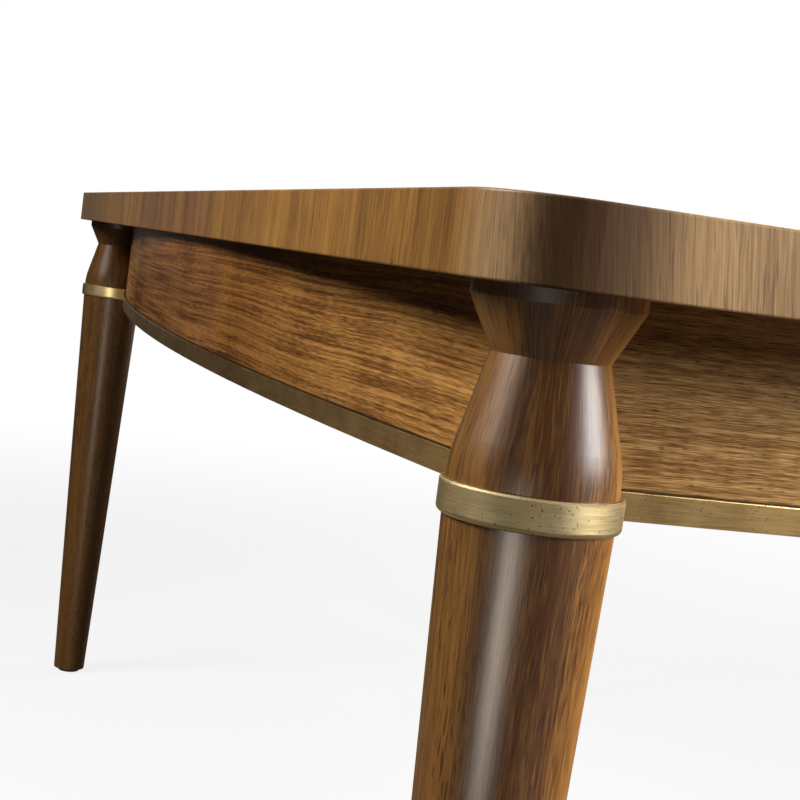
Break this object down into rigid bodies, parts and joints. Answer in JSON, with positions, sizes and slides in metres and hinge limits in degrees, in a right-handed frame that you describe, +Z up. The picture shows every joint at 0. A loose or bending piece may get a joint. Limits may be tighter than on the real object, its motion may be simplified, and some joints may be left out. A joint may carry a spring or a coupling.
{
  "type": "extending dining table",
  "caption": "Walnut extending dining table with round turned legs, a bowed apron edged with a brass strip, telescoping slides and a folded leaf under the top.",
  "frame": {"origin": "on the floor under the middle of the closed table", "axes": "+X along the table towards the half that slides out, +Y across it towards the rear side, +Z up"},
  "size_m": [1.942, 0.98, 0.762],
  "materials": {
    "walnut_top": "walnut veneer, satin lacquer",
    "walnut_leaf": "walnut veneer, satin lacquer",
    "walnut_edge": "cross-grain walnut veneer, satin lacquer",
    "walnut_apron": "figured walnut veneer, satin lacquer",
    "walnut_leg": "turned walnut, gloss lacquer",
    "brass": "aged brushed brass",
    "brass_pin": "plain turned brass",
    "poplar": "unfinished poplar",
    "beech": "waxed beech",
    "nylon": "moulded nylon",
    "steel": "zinc-plated steel"
  },
  "bodies": {
    "half_a": {"build_up_a": "poplar", "cleats_a": "poplar", "corner_blocks_a": "poplar", "end_apron_a": "walnut_apron", "end_strip_a": "brass", "glides_a": "nylon", "glue_blocks_a": "poplar", "leg_bolts_a": "steel", "leg_front_a": "walnut_leg", "leg_rear_a": "walnut_leg", "lipping_a": "walnut_edge", "racks_a": "beech", "rail_front_a": "beech", "rail_rear_a": "beech", "rail_screws_a": "steel", "ring_front_a": "brass", "ring_rear_a": "brass", "side_apron_front_a": "walnut_apron", "side_apron_rear_a": "walnut_apron", "side_strips_a": "brass", "top_panel_a": "walnut_top", "lock_pivots": "steel"},
    "half_b": {"build_up_b": "poplar", "cleats_b": "poplar", "corner_blocks_b": "poplar", "end_apron_b": "walnut_apron", "end_strip_b": "brass", "glides_b": "nylon", "glue_blocks_b": "poplar", "leg_bolts_b": "steel", "leg_front_b": "walnut_leg", "leg_rear_b": "walnut_leg", "lipping_b": "walnut_edge", "racks_b": "beech", "rail_front_b": "beech", "rail_rear_b": "beech", "rail_screws_b": "steel", "ring_front_b": "brass", "ring_rear_b": "brass", "side_apron_front_b": "walnut_apron", "side_apron_rear_b": "walnut_apron", "side_strips_b": "brass", "top_panel_b": "walnut_top", "lock_keepers": "steel", "alignment_pins": "brass_pin"},
    "carriage": {"middle_rail_front": "beech", "middle_rail_rear": "beech", "leaf_bearers": "beech", "bearer_screws": "steel", "pinion_pins": "steel", "leaf_lower": "walnut_leaf", "leaf_upper": "walnut_leaf", "leaf_hinges": "brass", "leaf_pins": "brass_pin"},
    "pinion_front": {"pinion_front": "nylon"},
    "pinion_rear": {"pinion_rear": "nylon"},
    "lock_front": {"lock_lever_front": "steel"},
    "lock_rear": {"lock_lever_rear": "steel"}
  },
  "joints": [
    {"name": "extension", "type": "slide", "parent": "half_a", "child": "half_b", "axis": [1, 0, 0], "range_m": [0, 0.5]},
    {"name": "carriage_slide", "type": "slide", "parent": "half_a", "child": "carriage", "axis": [1, 0, 0], "range_m": [0, 0.25]},
    {"name": "pinion_front_turn", "type": "hinge", "parent": "carriage", "child": "pinion_front", "pos_m": [0, -0.3, 0.67], "axis": [0, 0, 1], "range_deg": [-716.2, 0]},
    {"name": "pinion_rear_turn", "type": "hinge", "parent": "carriage", "child": "pinion_rear", "pos_m": [0, 0.3, 0.67], "axis": [0, 0, 1], "range_deg": [0, 716.2]},
    {"name": "lock_front_turn", "type": "hinge", "parent": "half_a", "child": "lock_front", "pos_m": [-0.02, -0.4045, 0.718], "axis": [0, 0, 1], "range_deg": [-90, 0]},
    {"name": "lock_rear_turn", "type": "hinge", "parent": "half_a", "child": "lock_rear", "pos_m": [-0.02, 0.4045, 0.718], "axis": [0, 0, 1], "range_deg": [0, 90]}
  ],
  "couplings": [
    {"joint": "carriage_slide", "follows": "extension", "ratio": 0.5},
    {"joint": "pinion_front_turn", "follows": "extension", "rad_per_m": -25},
    {"joint": "pinion_rear_turn", "follows": "extension", "rad_per_m": 25}
  ]
}
